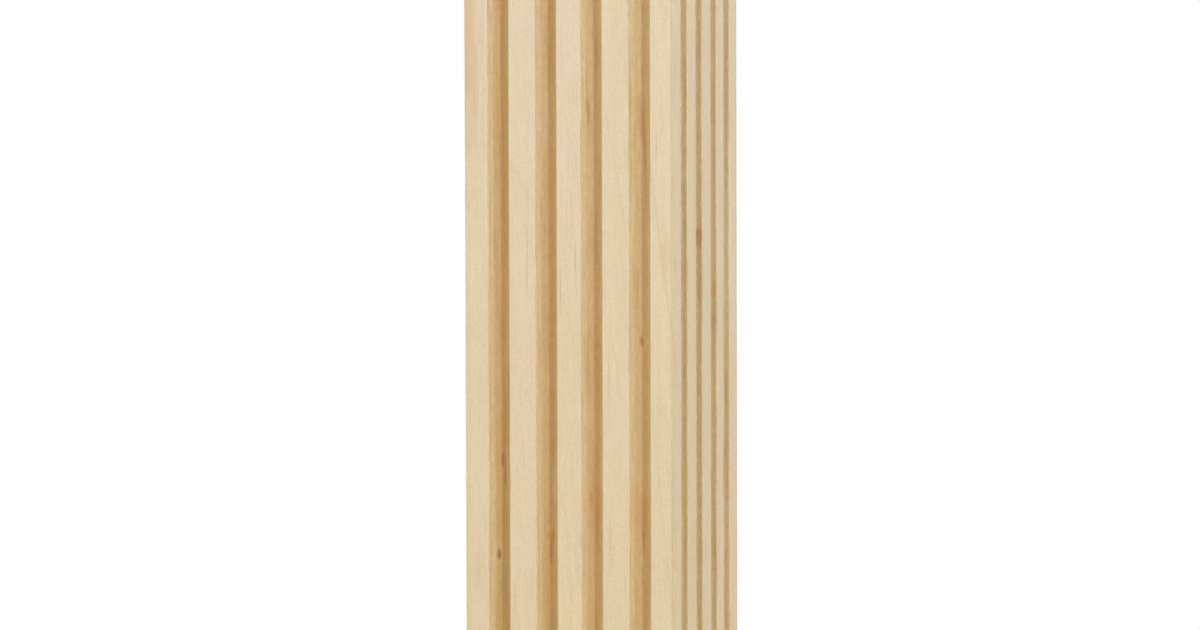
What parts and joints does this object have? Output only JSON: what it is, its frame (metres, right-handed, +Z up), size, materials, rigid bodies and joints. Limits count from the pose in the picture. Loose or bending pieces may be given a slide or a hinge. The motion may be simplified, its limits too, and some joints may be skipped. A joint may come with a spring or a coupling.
{
  "type": "fluted corner post",
  "caption": "Square wooden post, fluted full length on adjoining faces and plain on the others, that finishes the outside corner of a cabinet run.",
  "frame": {"origin": "centre of the square underside, on the floor", "axes": "+Z up along the post; -Y is the fluted front and +X the fluted side, which meet at the fluted corner; +Y and -X are the plain faces that meet the cabinets"},
  "size_m": [0.0888, 0.0888, 0.8954],
  "materials": {
    "maple": "clear hard maple, sanded and left matt"
  },
  "bodies": {
    "root": {"fluted_post": "maple"}
  },
  "joints": []
}
